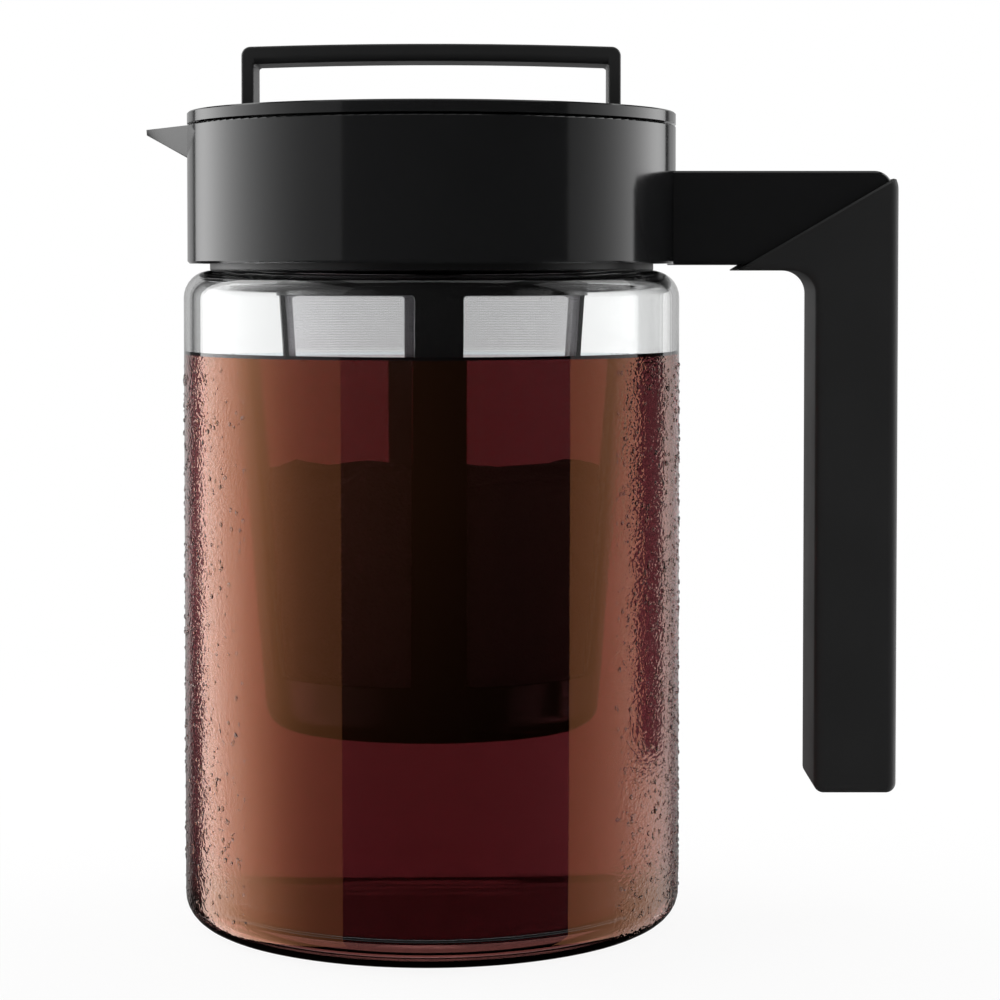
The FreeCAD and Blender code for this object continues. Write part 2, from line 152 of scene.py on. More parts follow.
def choose(tree, flag, chosen, otherwise):
    """chosen where the flag is 1, otherwise where it is 0."""
    node = tree.nodes.new("ShaderNodeMix")
    # A Mix node has a pair of sockets for each kind of value: 2 and 3 for numbers, 6 and 7 for colours.
    for index, given in ((0, flag), (2, otherwise), (3, chosen)):
        feed(tree, node.inputs[index], given)
    return node.outputs[0]


def mix_colours(tree, share, first, second):
    """A blend of two colours, by a share from 0 to 1."""
    blend = tree.nodes.new("ShaderNodeMix")
    blend.data_type = "RGBA"
    for index, given in ((0, share), (6, first), (7, second)):
        feed(tree, blend.inputs[index], given)
    return blend.outputs[2]


def mix_shaders(tree, share, first, second):
    """A blend of two shader nodes, by a share from 0 to 1."""
    blend = tree.nodes.new("ShaderNodeMixShader")
    for index, given in enumerate((share, first.outputs[0], second.outputs[0])):
        feed(tree, blend.inputs[index], given)
    return blend


def has_met(tree, ray, kind):
    """1 where the ray has met a surface of that kind, Diffuse or Glossy, on its way."""
    return calculate(tree, "GREATER_THAN", ray.outputs[kind + " Depth"], 0.5)


def new_finish(name):
    """An empty material with its node tree and its Principled shader."""
    finish = bpy.data.materials.new(name)
    finish.use_nodes = True
    return finish, finish.node_tree, finish.node_tree.nodes["Principled BSDF"]


def set_output(tree, socket, node):
    """Makes a node the material's Surface or its Volume."""
    feed(tree, tree.nodes["Material Output"].inputs[socket], node.outputs[0])


# %% [markdown]
# ## The studio
# The product stands in front of a white sheet, between two tall soft panels that are brightest a little
# behind it. The front of the room is dark. That is why a black collar shows two broad grey bands with crisp
# inner edges and stays black in the middle. A world that answers each kind of ray apart is the whole room.
# The camera sees white paper, and a ray that only passed clear plastic sees the sheet and its dimmer ends. A
# mirrored ray sees the sheet straight behind, a dimmer card round it and a dark room in front. What a ray
# has met on its way decides, not just its last face, so the sheen of a black rib behind the clear wall stays
# as dark as it would be in front of it.

# %% Light by direction
BELOW_GLOW = 0.08


def facing(tree, axes, angles, low, high):
    """low for a ray beyond the first angle from straight back, high for one within the second."""
    outer, inner = (math.cos(math.radians(angle)) for angle in angles)
    return ramp(tree, axes.outputs["Y"], outer, inner, low, high, smooth=True)


def above(tree, axes, foot, light):
    """The light of a form, which falls to a faint glow below its foot."""
    return calculate(tree, "MULTIPLY", light, ramp(tree, axes.outputs["Z"], *foot, BELOW_GLOW, 1.0))


# %% Backdrop
SHEET_DIM = 0.75
SHEET_MIRRORED = 0.90
CARD_GLOW = 0.52
DARK_LEFT = 0.09
DARK_RIGHT = 0.025
AMBIENT_FRONT = 0.20
AMBIENT_BACK = 0.85
# Degrees from straight back: a form begins to show at the first and shows in full from the second.
SEEN_SHEET = (20, 8)
MIRRORED_SHEET = (11, 7)
CARD = (34, 29)
# How far a ray points up, from -1 to 1: a form is gone at the first and shows in full from the second.
SHEET_FOOT = (-0.07, -0.03)
CARD_FOOT = (-0.30, -0.10)
# How far a ray points to the right, and to the back: the room's light changes from the first to the second.
LEFT_TO_RIGHT = (-0.8, 0.6)
FRONT_TO_BACK = (-0.3, 0.7)

world = bpy.data.worlds.new("studio")
world.use_nodes = True
bpy.context.scene.world = world
tree = world.node_tree
ray = tree.nodes.new("ShaderNodeLightPath")
direction = tree.nodes.new("ShaderNodeTexCoord")
axes = add_node(tree, "ShaderNodeSeparateXYZ", Vector=direction.outputs["Generated"])
seen_through = facing(tree, axes, SEEN_SHEET, SHEET_DIM, 1.0)
dark_room = ramp(tree, axes.outputs["X"], *LEFT_TO_RIGHT, DARK_LEFT, DARK_RIGHT)
sheet = above(tree, axes, SHEET_FOOT, facing(tree, axes, MIRRORED_SHEET, 0.0, SHEET_MIRRORED))
card = above(tree, axes, CARD_FOOT, facing(tree, axes, CARD, dark_room, CARD_GLOW))
mirrored = calculate(tree, "MAXIMUM", sheet, card)
ambient = ramp(tree, axes.outputs["Y"], *FRONT_TO_BACK, AMBIENT_FRONT, AMBIENT_BACK, smooth=True)
strength = choose(tree, ray.outputs["Is Transmission Ray"], seen_through, ambient)
strength = choose(tree, has_met(tree, ray, "Glossy"), mirrored, strength)
strength = choose(tree, has_met(tree, ray, "Diffuse"), ambient, strength)
strength = choose(tree, ray.outputs["Is Camera Ray"], 1.0, strength)
feed(tree, tree.nodes["Background"].inputs["Color"], WHITE)
feed(tree, tree.nodes["Background"].inputs["Strength"], strength)
print("white sheet behind, ambient", AMBIENT_FRONT, "to", AMBIENT_BACK)

# %% [markdown]
# ## The side panels
# Each panel is a tall rectangle whose glow rises to a peak and falls again, which draws the soft gradients
# on the collar. The black pieces and the clear wall get a pair each, told apart by light linking, as a studio
# sets cards for glass and for black plastic apart. The left panel for the wall stops short at the back, and
# that leaves the dark line which makes a clear edge readable. A weaker square lamp overhead lights the cap
# and the tops of the handle and the bail.

# %% One graded panel
PANEL_DISTANCE = 0.55
PANEL_HEIGHT = 1.40
PANEL_BASE = -0.50


def side_panel(name, side, start, end, glow, peak, place, spread):
    """An upright panel at one side, from start to end along Y, graded towards its bright place."""
    width = end - start
    data = bpy.data.lights.new(name, "AREA")
    data.shape = "RECTANGLE"
    data.size = width
    data.size_y = PANEL_HEIGHT
    # With this energy, an emission of 1 is as bright as a white surface.
    data.energy = math.pi * width * PANEL_HEIGHT
    data.use_nodes = True
    tree = data.node_tree
    spot = add_node(tree, "ShaderNodeNewGeometry")
    across = add_node(tree, "ShaderNodeSeparateXYZ", Vector=spot.outputs["Parametric"])
    along = ramp(tree, across.outputs["X"], 0.0, 1.0, start, end)
    offset = calculate(tree, "DIVIDE", calculate(tree, "SUBTRACT", along, place), spread)
    squared = calculate(tree, "MULTIPLY", offset, offset)
    fall = calculate(tree, "EXPONENT", calculate(tree, "MULTIPLY", squared, -1.0))
    graded = calculate(tree, "ADD", calculate(tree, "MULTIPLY", fall, peak), glow)
    feed(tree, tree.nodes["Emission"].inputs["Strength"], graded)
    panel = bpy.data.objects.new(name, data)
    centre = Vector((side * PANEL_DISTANCE, (start + end) / 2, PANEL_BASE + PANEL_HEIGHT / 2))
    # Its width lies along Y, its height along Z, and it shines towards the pitcher.
    turn = Matrix(((0, 0, side), (1, 0, 0), (0, side, 0)))
    panel.matrix_world = Matrix.Translation(centre) @ turn.to_4x4()
    panel.visible_camera = False
    bpy.context.scene.collection.objects.link(panel)
    print(name, "from", start, "to", end, "m along Y")
    return panel


# %% Two pairs of side panels
LEFT = -1
RIGHT = 1

panels_for_black = [
    side_panel("panel_left", LEFT, start=-0.682, end=0.664, glow=0.28, peak=2.6, place=0.27, spread=0.37),
    side_panel("panel_right", RIGHT, start=-0.271, end=0.642, glow=0.25, peak=2.5, place=0.32, spread=0.32),
]
panels_for_clear = [
    side_panel(
        "panel_left_clear", LEFT, start=-0.682, end=0.425, glow=0.28, peak=2.6, place=0.27, spread=0.37),
    side_panel(
        "panel_right_clear", RIGHT, start=-0.271, end=0.80, glow=0.40, peak=0.90, place=0.30, spread=0.40),
]

# %% Lamp overhead
TOP_SIZE = 0.9
TOP_PLACE = (0, 0.1, 1.1)
TOP_GLOW = 0.8

top_data = bpy.data.lights.new("panel_top", "AREA")
top_data.size = TOP_SIZE
top_data.energy = math.pi * TOP_SIZE ** 2 * TOP_GLOW
top_panel = bpy.data.objects.new("panel_top", top_data)
top_panel.location = TOP_PLACE
top_panel.visible_camera = False
bpy.context.scene.collection.objects.link(top_panel)

# %% [markdown]
# ## The floor
# A plain pale floor, wide enough for every view. Most of its brightness comes from a faint glow that only
# the camera and clear pieces see, so it reads as white paper, and the rest is ordinary paint that keeps the
# shadow. Far from the object the glow takes over, so the floor meets the background without a line. Mirrored
# rays look past the floor to the room below, so the clear wall's own mirror shows no pale veil. The floor
# lies a hair below the pitcher, so that air stays under the foot, which makes it look dark.

# %% The floor as a plane
FLOOR_REACH = 6.0
FLOOR_DROP = 0.1 * MM


def deselect_all():
    """Operators act on all that is selected, so each piece starts with nothing selected."""
    if bpy.context.object and bpy.context.object.mode != "OBJECT":
        bpy.ops.object.mode_set(mode="OBJECT")
    bpy.ops.object.select_all(action="DESELECT")


deselect_all()
bpy.ops.mesh.primitive_plane_add(size=FLOOR_REACH, location=(0, 0, -FLOOR_DROP))
floor = bpy.context.object
floor.name = "floor"
floor.visible_glossy = False
print("floor", FLOOR_REACH, "m wide,", round(FLOOR_DROP / MM, 2), "mm below the pitcher")

# %% The floor's paper
FLOOR_GLOW_SHARE = 0.91
SHADOW_START = 0.1
SHADOW_REACH = 0.45
PAPER_DARK = (0.86, 0.86, 0.86, 1)
PAPER_LIGHT = (0.92, 0.92, 0.92, 1)

floor_paper, tree, paint = new_finish("floor_paper")
paint.inputs["Roughness"].default_value = 0.9
paint.inputs["Specular IOR Level"].default_value = 0.1
grain = add_node(tree, "ShaderNodeTexNoise", Scale=900.0, Detail=3.0)
feed(tree, paint.inputs["Base Color"], mix_colours(tree, grain.outputs["Fac"], PAPER_DARK, PAPER_LIGHT))
ray = tree.nodes.new("ShaderNodeLightPath")
seen = calculate(tree, "MAXIMUM", ray.outputs["Is Camera Ray"], ray.outputs["Is Transmission Ray"])
spot = tree.nodes.new("ShaderNodeTexCoord")
away = tree.nodes.new("ShaderNodeVectorMath")
away.operation = "LENGTH"
feed(tree, away.inputs[0], spot.outputs["Object"])
share = ramp(
    tree, away.outputs["Value"], SHADOW_START, SHADOW_REACH, FLOOR_GLOW_SHARE, 1.0, smooth=True)
glow = add_node(tree, "ShaderNodeEmission", Color=WHITE, Strength=1.0)
paper = mix_shaders(tree, calculate(tree, "MULTIPLY", seen, share), paint, glow)
# A mirrored ray goes through the floor, also when a clear wall stood in its way after the mirror.
no_floor = add_node(tree, "ShaderNodeBsdfTransparent", Color=WHITE)
set_output(tree, "Surface", mix_shaders(tree, has_met(tree, ray, "Glossy"), paper, no_floor))
floor.data.materials.append(floor_paper)
print("its shadow fades from", SHADOW_START, "to", SHADOW_REACH, "m from the middle")

# %% [markdown]
# ## Finishes for the black pieces
# The collar, the cap, the bail and the handle's core are one resin, moulded in a tool with a fine satin
# grain: almost black, with a tight reflection that a very faint ripple breaks. The bail is polished less, and
# its base colour is painted lighter for the light on its faces. The base colour, the roughness and the ripple
# each get their own noise, at the scale of a real moulding, so no face is a single flat colour.

# %% Patterns on a piece
def object_place(tree, stretch=(1, 1, 1)):
    """Object coordinates in metres, stretched per axis."""
    place = tree.nodes.new("ShaderNodeTexCoord")
    mapping = add_node(tree, "ShaderNodeMapping", Vector=place.outputs["Object"], Scale=stretch)
    return mapping.outputs[0]


def noise(tree, place, scale, detail=2.0, roughness=0.5):
    """Soft noise of that many cells to the metre."""
    node = add_node(
        tree, "ShaderNodeTexNoise", Vector=place, Scale=scale, Detail=detail, Roughness=roughness)
    return node.outputs["Fac"]


def ripple(tree, height, distance):
    """A bump from a height between 0 and 1, that many metres high."""
    return add_node(tree, "ShaderNodeBump", Height=height, Distance=distance).outputs[0]


# %% A moulded finish
# Soft noise seldom leaves the range between these two, so a ramp over it uses all of its ends.
NOISE_LOW = 0.3
NOISE_HIGH = 0.7
CLOUD_SCALE = 55.0
CLOUD_SHARE = 0.6


def moulded(name, dark, light, gloss, matt, grain_scale, grain_depth):
    """A moulded plastic: its two tones, its range of roughness, and the grain of its tool."""
    finish, tree, shader = new_finish(name)
    place = object_place(tree)
    clouds = noise(tree, place, CLOUD_SCALE, detail=3.0)
    grain = noise(tree, place, grain_scale, roughness=0.6)
    feed(tree, shader.inputs["Base Color"], mix_colours(tree, clouds, dark, light))
    cloud_wear = calculate(tree, "MULTIPLY", clouds, CLOUD_SHARE)
    grain_wear = calculate(tree, "MULTIPLY", grain, 1 - CLOUD_SHARE)
    worn = calculate(tree, "ADD", cloud_wear, grain_wear)
    feed(tree, shader.inputs["Roughness"], ramp(tree, worn, NOISE_LOW, NOISE_HIGH, gloss, matt))
    feed(tree, shader.inputs["Normal"], ripple(tree, grain, grain_depth))
    print("finish", name, "with roughness", gloss, "to", matt)
    return finish


# %% Five black finishes
black_plastic = moulded(
    "black_plastic", dark=(0.0095, 0.0097, 0.0102, 1), light=(0.0125, 0.0127, 0.0132, 1),
    gloss=0.08, matt=0.13, grain_scale=1500.0, grain_depth=0.002 * MM)
filter_plastic = moulded(
    "filter_plastic", dark=(0.0062, 0.0062, 0.0066, 1), light=(0.0090, 0.0090, 0.0094, 1),
    gloss=0.16, matt=0.24, grain_scale=1200.0, grain_depth=0.003 * MM)
# The cap's resin, rougher, with a lighter base colour that is painted brightness for the light on the bail.
bail_plastic = moulded(
    "bail_plastic", dark=(0.0380, 0.0385, 0.0390, 1), light=(0.0470, 0.0475, 0.0480, 1),
    gloss=0.36, matt=0.44, grain_scale=1500.0, grain_depth=0.003 * MM)
soft_grip = moulded(
    "soft_grip", dark=(0.0230, 0.0233, 0.0238, 1), light=(0.0300, 0.0303, 0.0310, 1),
    gloss=0.52, matt=0.62, grain_scale=2600.0, grain_depth=0.012 * MM)
soft_seal = moulded(
    "soft_seal", dark=(0.0090, 0.0090, 0.0094, 1), light=(0.0130, 0.0130, 0.0134, 1),
    gloss=0.34, matt=0.46, grain_scale=2000.0, grain_depth=0.006 * MM)

# %% [markdown]
# ## Turned steel for the screws
# The two screws are seen only from inside the collar's pour channel. Fine rings round the screw's own axis,
# which lies along X, show that the heads were turned.

# %% Screw steel
STEEL_DARK = (0.42, 0.42, 0.43, 1)
STEEL_LIGHT = (0.62, 0.62, 0.63, 1)
STEEL_GLOSS = 0.24
STEEL_MATT = 0.38
TURNED_LINES = (9000, 300, 300)

screw_steel, tree, shader = new_finish("screw_steel")
shader.inputs["Metallic"].default_value = 1.0
lines = noise(tree, object_place(tree, TURNED_LINES), scale=1.0)
feed(tree, shader.inputs["Base Color"], mix_colours(tree, lines, STEEL_DARK, STEEL_LIGHT))
feed(tree, shader.inputs["Roughness"], ramp(tree, lines, NOISE_LOW, NOISE_HIGH, STEEL_GLOSS, STEEL_MATT))
print("finish", screw_steel.name, "with roughness", STEEL_GLOSS, "to", STEEL_MATT)

# %% [markdown]
# ## The woven mesh
# The panels are fine woven nylon, so fine that from arm's length they read as a lilac veil. Threads run up
# the cone and round it, so the pattern reads the height and the angle round the axis. The two waves are
# added, not cut to lines, and their sum thins and thickens the veil. Below the brew's surface the wet
# threads let more light by.

# %% Mesh weave
THREADS_ROUND = 380
THREAD_PITCH = 0.5 * MM
THREAD_RISE = 0.03 * MM
VEIL_DRY = 0.17
VEIL_WET = 0.03
WET_EDGE = 2 * MM
WEAVE_CONTRAST = 0.45
NYLON_DARK = (0.60, 0.59, 0.64, 1)
NYLON_LIGHT = (0.70, 0.69, 0.74, 1)


def wave(tree, value, per_unit):
    """A sine of the value, that many radians to its unit."""
    return calculate(tree, "SINE", calculate(tree, "MULTIPLY", value, per_unit))


filter_mesh, tree, shader = new_finish("filter_mesh")
axes = add_node(tree, "ShaderNodeSeparateXYZ", Vector=object_place(tree))
angle = calculate(tree, "ARCTAN2", axes.outputs["Y"], axes.outputs["X"])
up_threads = wave(tree, angle, THREADS_ROUND)
round_threads = wave(tree, axes.outputs["Z"], 2 * math.pi / THREAD_PITCH)
weave = calculate(tree, "MULTIPLY", calculate(tree, "ADD", up_threads, round_threads), WEAVE_CONTRAST / 2)
veil = ramp(tree, axes.outputs["Z"], brew_level, brew_level + WET_EDGE, VEIL_WET, VEIL_DRY)
tone = noise(tree, object_place(tree), scale=180.0)
feed(tree, shader.inputs["Base Color"], mix_colours(tree, tone, NYLON_DARK, NYLON_LIGHT))
shader.inputs["Roughness"].default_value = 0.45
feed(tree, shader.inputs["Normal"], ripple(tree, weave, THREAD_RISE))
feed(tree, shader.inputs["Alpha"], calculate(tree, "MULTIPLY", veil, calculate(tree, "ADD", weave, 1.0)))
print("finish", filter_mesh.name, "with a veil of", VEIL_DRY, "dry and", VEIL_WET, "wet")

# %% [markdown]
# ## Dress the CAD pieces
# Every CAD piece came in with a plain material named after its finish, so each gets the finish of that name.
# Only the bail differs: it is the cap's resin, rougher, with a base colour painted lighter for the light on
# its faces. The clear wall is left out here, because the pitcher is made again below.

# %% Give the CAD pieces their finishes
FINISHES = {
    "black_plastic": black_plastic,
    "filter_plastic": filter_plastic,
    "filter_mesh": filter_mesh,
    "soft_grip": soft_grip,
    "soft_seal": soft_seal,
    "screw_steel": screw_steel,
}
for node in nodes.values():
    for slot in node.material_slots:
        name = slot.material.name.split(".")[0]
        if name in FINISHES:
            slot.material = bail_plastic if node.name == "lid_strap" else FINISHES[name]
            print(node.name, "->", slot.material.name)

# %% [markdown]
# ## Turning a profile
# The pitcher, the brew, the foot's tint and the grounds are round, so each starts as half an outline in the
# XZ plane. A small plane is merged to one point, the point is extruded from corner to corner, the corners
# that are round on the real piece get a vertex bevel, and a spin of a full turn round Z makes the body. Its
# doubles on the axis are merged first, and only then do the normals face outwards.

# %% Pick vertices by their place
def pick_vertices(piece, test):
    """Selects, in edit mode, only the vertices whose place passes the test."""
    bpy.ops.mesh.select_mode(type="VERT")
    bpy.ops.mesh.select_all(action="DESELECT")
    mesh = bmesh.from_edit_mesh(piece.data)
    for vertex in mesh.verts:
        vertex.select = test(vertex.co)
    mesh.select_flush_mode()
    bmesh.update_edit_mesh(piece.data)


# %% Draw half an outline
def draw_profile(name, corners):
    """Edges through corners in the XZ plane. A corner is a radius, a height and, where round, a rounding."""
    deselect_all()
    first = Vector((corners[0][0], 0, corners[0][1]))
    bpy.ops.mesh.primitive_plane_add(size=MM, location=first)
    piece = bpy.context.object
    piece.name = name
    piece.data.name = name
    bpy.ops.object.transform_apply(location=True, rotation=True, scale=True)
    bpy.ops.object.mode_set(mode="EDIT")
    bpy.ops.mesh.select_all(action="SELECT")
    bpy.ops.mesh.merge(type="CENTER")
    here = first
    for corner in corners[1:]:
        there = Vector((corner[0], 0, corner[1]))
        bpy.ops.mesh.extrude_region_move(TRANSFORM_OT_translate={"value": there - here})
        here = there
    return piece


# %% Round its corners
WELD = 0.001 * MM
LARGE_ROUNDING = 3 * MM
LARGE_ROUNDING_STEPS = 8
SMALL_ROUNDING_STEPS = 3


def round_corners(piece, corners):
    """A vertex bevel at each corner that has a rounding."""
    places = [Vector((corner[0], 0, corner[1])) for corner in corners]
    for index, corner in enumerate(corners):
        if len(corner) < 3:
            continue
        rounding = corner[2]
        before, here, after = places[index - 1:index + 2]
        half_turn = (before - here).angle(after - here) / 2
        pick_vertices(piece, lambda place: (place - here).length < WELD)
        steps = LARGE_ROUNDING_STEPS if rounding > LARGE_ROUNDING else SMALL_ROUNDING_STEPS
        bpy.ops.mesh.bevel(offset=rounding / math.tan(half_turn), segments=steps, affect="VERTICES")


# %% Turn it
TURN_STEPS = 256


def turn_profile(name, corners, steps=TURN_STEPS):
    """A round body from half its outline, which starts and ends on the axis."""
    piece = draw_profile(name, corners)
    round_corners(piece, corners)
    bpy.ops.mesh.select_all(action="SELECT")
    bpy.ops.mesh.spin(steps=steps, angle=2 * math.pi, center=(0, 0, 0), axis=(0, 0, 1))
    bpy.ops.mesh.select_all(action="SELECT")
    bpy.ops.mesh.remove_doubles(threshold=WELD)
    bpy.ops.mesh.normals_make_consistent(inside=False)
    bpy.ops.object.mode_set(mode="OBJECT")
    bpy.ops.object.shade_smooth_by_angle(angle=math.radians(40))
    print(name, "has", len(piece.data.polygons), "faces")
    return piece


# %% [markdown]
# ## The clear wall
# The pitcher is one piece of tough clear plastic with a thick floor. Light bends through it, so its wall
# needs far more facets than a CAD mesh has, and it is turned again here on the same profile. Only its outer
# face mirrors the room: the inner faces get a finish without that reflection, because the brew wets them and
# the filter's black ring stands close behind them. Outside, below the brew's surface, the reflection gets a
# painted warm tint for light that has been in the coffee, and the finest dew roughens that band's two flanks.
# Lamps shine through, which a transparent shader for shadow rays allows.

# %% A material that light bends in
def new_clear_finish(name, ior):
    """A material that light passes and bends in. Lamps shine through, because shadow rays pass straight."""
    finish, tree, shader = new_finish(name)
    shader.inputs["Transmission Weight"].default_value = 1.0
    shader.inputs["IOR"].default_value = ior
    shader.inputs["Roughness"].default_value = 0.0
    ray = tree.nodes.new("ShaderNodeLightPath")
    hole = add_node(tree, "ShaderNodeBsdfTransparent", Color=WHITE)
    set_output(tree, "Surface", mix_shaders(tree, ray.outputs["Is Shadow Ray"], shader, hole))
    return finish, tree, shader


# %% The finest dew, as a bump
PEBBLE_SIZE = 0.60 * MM
PEBBLE_STRETCH = (1, 0.36, 1)
PEBBLE_SHIFT = 1.2 * MM
# Where the pebbles begin and where they stand in full, along X, in pitcher radii.
RIGHT_FLANK = (0.66, 0.78)
LEFT_FLANK = (-0.62, -0.93)
LEFT_SHARE = 0.9
PATCH_NOISE = (0.35, 0.6)
THIN_PATCH = 0.55


def flank(tree, across, reach, share):
    """A share that rises from none at the first place along X to all of it at the second."""
    begin, full = (radii * pitcher_radius for radii in reach)
    return ramp(tree, across, begin, full, 0.0, share, smooth=True)


def fine_dew(tree):
    """The height of the finest dew: pebbles on the two flanks of the wall, drawn out along Y."""
    place = object_place(tree)
    axes = add_node(tree, "ShaderNodeSeparateXYZ", Vector=place)
    warp = add_node(tree, "ShaderNodeTexNoise", Vector=place, Scale=420.0, Detail=1.0)
    shifted = tree.nodes.new("ShaderNodeVectorMath")
    shifted.operation = "MULTIPLY_ADD"
    feed(tree, shifted.inputs[0], warp.outputs["Color"])
    feed(tree, shifted.inputs[1], (PEBBLE_SHIFT, PEBBLE_SHIFT, PEBBLE_SHIFT))
    feed(tree, shifted.inputs[2], object_place(tree, PEBBLE_STRETCH))
    cells = tree.nodes.new("ShaderNodeTexVoronoi")
    cells.feature = "SMOOTH_F1"
    feed(tree, cells.inputs["Vector"], shifted.outputs[0])
    feed(tree, cells.inputs["Scale"], 1 / PEBBLE_SIZE)
    pebble = calculate(tree, "SUBTRACT", 1.0, cells.outputs["Distance"])
    left = flank(tree, axes.outputs["X"], LEFT_FLANK, LEFT_SHARE)
    right = flank(tree, axes.outputs["X"], RIGHT_FLANK, 1.0)
    patches = ramp(tree, noise(tree, place, scale=70.0), *PATCH_NOISE, THIN_PATCH, 1.0)
    cover = calculate(tree, "MULTIPLY", calculate(tree, "ADD", left, right), patches)
    return calculate(tree, "MULTIPLY", pebble, cover)


# %% Clear plastic
CLEAR_IOR = 1.54
CLEAR_DARK = (0.922, 0.928, 0.928, 1)
CLEAR_LIGHT = (0.944, 0.949, 0.947, 1)
FLOW_STRETCH = (1, 1, 0.12)
FLOW_DEPTH = 0.02 * MM
PEBBLE_DEPTH = 0.17 * MM
NO_SHEEN = (0, 0, 0, 1)
# A painted warm tint on the wall's reflection below the brew's surface, for light that has been in the
# coffee.
BREW_PAINTED_SHEEN = (2.8, 1.02, 0.35, 1)


def clear_finish(name, sheen=WHITE, dewed=False):
    """The wall's material with a faint upright ripple from the moulding. The sheen is a painted tint on its
    reflection.
    """
    finish, tree, shader = new_clear_finish(name, CLEAR_IOR)
    shader.inputs["Specular Tint"].default_value = sheen
    flow = noise(tree, object_place(tree, FLOW_STRETCH), scale=90.0)
    feed(tree, shader.inputs["Base Color"], mix_colours(tree, flow, CLEAR_DARK, CLEAR_LIGHT))
    surface = ripple(tree, flow, FLOW_DEPTH)
    if dewed:
        pebbled = add_node(
            tree, "ShaderNodeBump", Height=fine_dew(tree), Distance=PEBBLE_DEPTH, Normal=surface)
        surface = pebbled.outputs[0]
    feed(tree, shader.inputs["Normal"], surface)
    print("finish", name, "with dew" if dewed else "without dew")
    return finish


clear_plastic = clear_finish("clear_plastic")
clear_inside = clear_finish("clear_inside", NO_SHEEN)
clear_over_brew = clear_finish("clear_over_brew", BREW_PAINTED_SHEEN, dewed=True)

# %% [markdown]
# ## The pitcher itself
# The outline runs from the middle of the foot up the outside, over the neck's rim and down the inside to the
# floor. It has a corner at the brew's surface, which rounds nothing: it parts the outer wall there, so that
# the finish below the surface ends in a clean line.

# %% Turn the pitcher
pitcher = turn_profile("pitcher_clear", [
    (0, 0),
    (pitcher_radius, 0, foot_rounding),
    (pitcher_radius, brew_level),
    (pitcher_radius, shoulder_height, shoulder_rounding),
    (neck_radius, shoulder_height),
    (neck_radius, neck_top, neck_edge),
    (neck_bore, neck_top, neck_edge),
    (neck_bore, shoulder_height - pitcher_wall, neck_wall / 2),
    (pitcher_bore, shoulder_height - pitcher_wall, shoulder_rounding - pitcher_wall),
    (pitcher_bore, pitcher_floor, foot_rounding),
    (0, pitcher_floor),
])
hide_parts("pitcher_body")
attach(pitcher, "pitcher")

# %% Tell its faces apart
OUTSIDE, INSIDE, OVER_BREW = range(3)
LEVEL = 0.99

for finish in (clear_plastic, clear_inside, clear_over_brew):
    pitcher.data.materials.append(finish)
for face in pitcher.data.polygons:
    outward = face.normal.x * face.center.x + face.normal.y * face.center.y
    on_floor = abs(face.normal.z) > LEVEL and abs(face.center.z - pitcher_floor) < WELD
    if outward < -WELD or on_floor:
        face.material_index = INSIDE
    elif face.center.z < brew_level:
        face.material_index = OVER_BREW
print("faces outside, inside and over the brew:",
      [sum(face.material_index == index for face in pitcher.data.polygons)
       for index in (OUTSIDE, INSIDE, OVER_BREW)])

# %% [markdown]
# ## The brew
# Coffee is a clear liquid that swallows blue and green sooner than red, so a thick layer is dark red-brown
# and a thin one is amber. Volume absorption gives both at once. The body of liquid is a hair wider than the
# bore, so that the light passes from plastic to liquid with no air between, and its top creeps up the wall
# in a meniscus.

# %% Coffee as a finish
WATER_IOR = 1.333
ABSORPTION_DENSITY = 60.0
ABSORBED_COLOUR = (0.575, 0.20, 0.228, 1)


def swallow_light(tree, colour, density):
    """A volume that lets that colour pass and swallows the rest, in so many lengths to the metre."""
    set_output(tree, "Volume", add_node(tree, "ShaderNodeVolumeAbsorption", Color=colour, Density=density))


coffee_finish, tree, shader = new_clear_finish("coffee", WATER_IOR)
shader.inputs["Base Color"].default_value = WHITE
shader.inputs["Specular Tint"].default_value = NO_SHEEN
swell = noise(tree, object_place(tree), scale=45.0)
feed(tree, shader.inputs["Normal"], ripple(tree, swell, FLOW_DEPTH))
swallow_light(tree, ABSORBED_COLOUR, ABSORPTION_DENSITY)
print("finish", coffee_finish.name, "with an index of refraction of", WATER_IOR)

# %% Coffee as a body
BREW_OVERLAP = 0.1 * MM
MENISCUS_RISE = 0.7 * MM
MENISCUS_WIDTH = 1.6 * MM

brew_radius = pitcher_bore + BREW_OVERLAP
coffee = turn_profile("coffee", [
    (0, pitcher_floor - BREW_OVERLAP),
    (brew_radius, pitcher_floor - BREW_OVERLAP, foot_rounding + BREW_OVERLAP),
    (brew_radius, brew_level + MENISCUS_RISE),
    (pitcher_bore - MENISCUS_WIDTH / 4, brew_level + MENISCUS_RISE / 3),
    (pitcher_bore - MENISCUS_WIDTH, brew_level),
    (0, brew_level),
])
coffee.data.materials.append(coffee_finish)
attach(coffee, "pitcher")

# %% [markdown]
# ## Painted shade in the foot
# The thick clear floor is seen edge-on. Light that runs along inside it meets the brew above it again and
# again, so on the real pitcher the foot is as dark and brown as the brew. A closed body inside the floor
# paints that shade in the brew's colour. It bends and mirrors nothing and only swallows light, and it follows
# the floor a hair within its faces.

# %% Painted shade in the foot
FOOT_SHADE_DENSITY = 36.0
FOOT_SHADE_COLOUR = (0.58, 0.20, 0.15, 1)
FOOT_SHADE_GAP = 0.4 * MM
FOOT_SHADE_TOP = 11.0 * MM
# Two corners keep the painted shade inside the rounded edge of the foot.
FOOT_SHADE_UNDERSIDE = pitcher_radius - foot_rounding + 2.0 * MM
FOOT_SHADE_HEEL = pitcher_radius - 1.6 * MM

# The painted shade: a volume that darkens the clear floor in the brew's colour.
foot_shade_finish, tree, shader = new_finish("foot_painted_shade")
shader.inputs["Alpha"].default_value = 0.0
swallow_light(tree, FOOT_SHADE_COLOUR, FOOT_SHADE_DENSITY)

